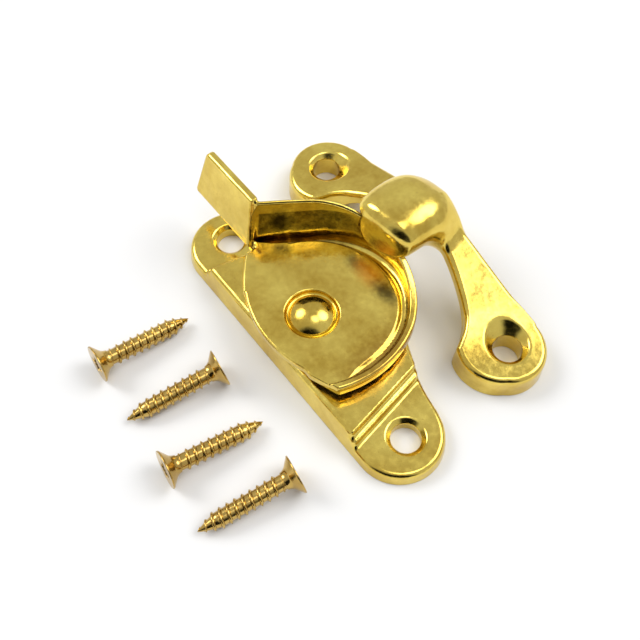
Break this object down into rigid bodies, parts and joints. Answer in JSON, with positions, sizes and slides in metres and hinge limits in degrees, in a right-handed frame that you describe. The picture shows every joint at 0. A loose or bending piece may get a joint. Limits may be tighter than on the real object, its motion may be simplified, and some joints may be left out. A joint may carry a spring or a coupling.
{
  "type": "sash window fastener",
  "caption": "Cam-type sash window fastener: base with a turning cam lever and thumb tab, hooked keeper and loose countersunk wood screws.",
  "frame": {"origin": "pivot axis on the mounting plane, which is the middle of the base's two screw holes", "axes": "+X along the base, +Y towards the keeper, +Z away from the window out of the mounting plane"},
  "size_m": [0.0596, 0.0592, 0.0174],
  "materials": {
    "polished_brass": "polished, lacquered casting",
    "screw_brass": "bright plated, rolled thread",
    "spring_bronze": "plain strip"
  },
  "bodies": {
    "base": {"base_plate": "polished_brass", "pivot_rivet": "polished_brass", "spring_washer": "spring_bronze", "tail_washer": "spring_bronze"},
    "lever": {"cam_lever": "polished_brass"},
    "keeper": {"keeper": "polished_brass"},
    "screw_1": {"wood_screw_1": "screw_brass"},
    "screw_2": {"wood_screw_2": "screw_brass"},
    "screw_3": {"wood_screw_3": "screw_brass"},
    "screw_4": {"wood_screw_4": "screw_brass"}
  },
  "joints": [
    {"name": "lever_turn", "type": "hinge", "parent": "base", "child": "lever", "pos_m": [0, 0, 0], "axis": [0, 0, 1], "range_deg": [0, 150]},
    {"name": "keeper_lift", "type": "slide", "parent": "base", "child": "keeper", "axis": [0, 0, 1], "range_m": [0, 0.03]},
    {"name": "screw_1_lift", "type": "slide", "parent": "base", "child": "screw_1", "axis": [0, 0, 1], "range_m": [0, 0.03]},
    {"name": "screw_2_lift", "type": "slide", "parent": "base", "child": "screw_2", "axis": [0, 0, 1], "range_m": [0, 0.03]},
    {"name": "screw_3_lift", "type": "slide", "parent": "base", "child": "screw_3", "axis": [0, 0, 1], "range_m": [0, 0.03]},
    {"name": "screw_4_lift", "type": "slide", "parent": "base", "child": "screw_4", "axis": [0, 0, 1], "range_m": [0, 0.03]}
  ]
}
